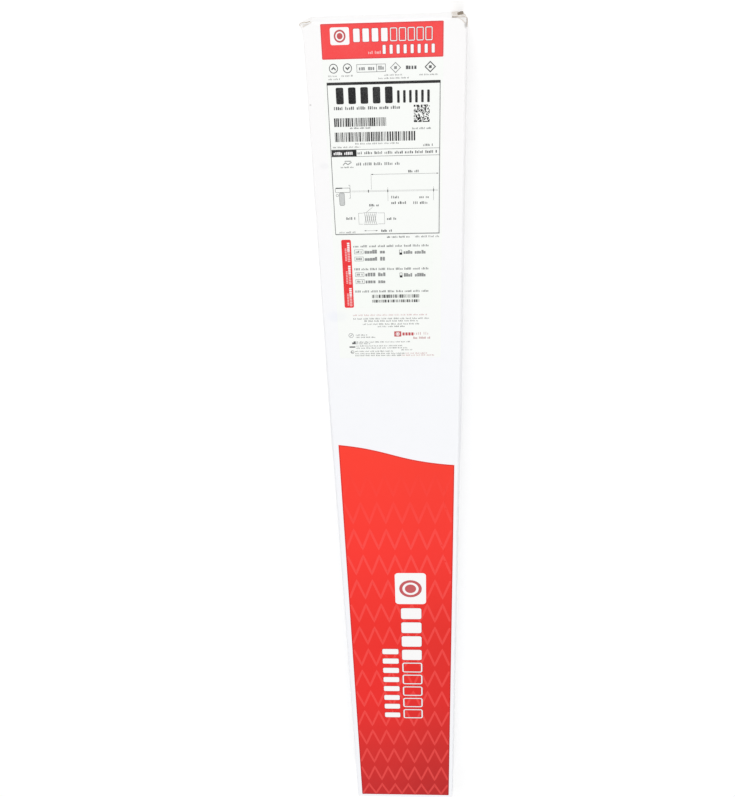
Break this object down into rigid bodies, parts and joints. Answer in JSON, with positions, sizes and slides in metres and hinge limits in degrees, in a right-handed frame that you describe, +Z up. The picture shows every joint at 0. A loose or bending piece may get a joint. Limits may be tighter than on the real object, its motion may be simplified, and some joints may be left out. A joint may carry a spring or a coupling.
{
  "type": "sealed medical device carton",
  "caption": "Long, narrow, sealed white board carton for a catheter-type device, with a red printed panel, an outer label and peel-off record labels.",
  "frame": {"origin": "middle of the flat back face that the carton rests on", "axes": "+Z up from the rest face through the printed front face, +Y along the carton towards the labelled end, +X to the right of the print"},
  "size_m": [0.1422, 1.01, 0.0503],
  "materials": {
    "carton_board": "white coated board with a satin varnish, brown at the cut edges",
    "label_paper": "smooth self-adhesive label paper, printed",
    "record_label_paper": "smooth self-adhesive label paper, printed"
  },
  "bodies": {
    "root": {"carton": "carton_board", "main_label": "label_paper", "record_label_1": "record_label_paper", "record_label_2": "record_label_paper", "record_label_3": "record_label_paper"}
  },
  "joints": []
}
